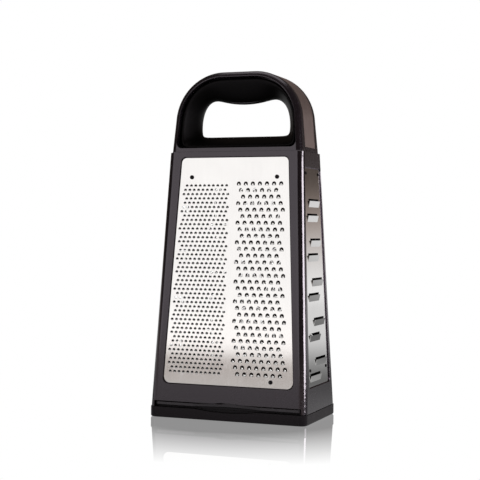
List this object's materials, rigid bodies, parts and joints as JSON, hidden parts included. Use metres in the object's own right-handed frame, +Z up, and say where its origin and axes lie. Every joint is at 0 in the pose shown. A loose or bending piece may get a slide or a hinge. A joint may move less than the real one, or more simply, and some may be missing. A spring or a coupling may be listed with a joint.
{
  "type": "box grater",
  "caption": "Tapered four-sided box grater with fine, coarse, ribbon and slicing plates, an arched carrying handle and a slide-out base tray.",
  "frame": {"origin": "middle of the base, on the surface that the grater stands on", "axes": "+Z up through the handle, -Y towards the front plate with fine and coarse teeth, +X towards the ribbon plate"},
  "size_m": [0.1464, 0.0864, 0.306],
  "materials": {
    "frame_plastic": "satin black moulded ABS",
    "inner_plastic": "plain black moulded ABS",
    "tray_plastic": "satin black moulded polypropylene",
    "soft_grip": "fine matt thermoplastic rubber",
    "foot_rubber": "matt thermoplastic rubber",
    "trim_steel": "brushed along the arch",
    "screw_steel": "zinc plated",
    "blade_steel": "rolled and etched stainless sheet",
    "rivet_plastic": "black nylon"
  },
  "bodies": {
    "root": {"housing": "frame_plastic", "handle_frame": "frame_plastic", "handle_grip": "soft_grip", "handle_trim": "trim_steel", "handle_screws": "screw_steel", "base_frame": "inner_plastic", "base_foot": "foot_rubber", "front_blade": "blade_steel", "front_clamp": "inner_plastic", "front_rivets": "rivet_plastic", "right_blade": "blade_steel", "right_clamp": "inner_plastic", "right_rivets": "rivet_plastic", "rear_blade": "blade_steel", "rear_clamp": "inner_plastic", "rear_rivets": "rivet_plastic", "left_blade": "blade_steel", "left_clamp": "inner_plastic", "left_rivets": "rivet_plastic"},
    "tray": {"base_tray": "tray_plastic"}
  },
  "joints": [
    {"name": "tray_slide", "type": "slide", "parent": "root", "child": "tray", "axis": [0, -1, 0], "range_m": [0, 0.072]}
  ]
}
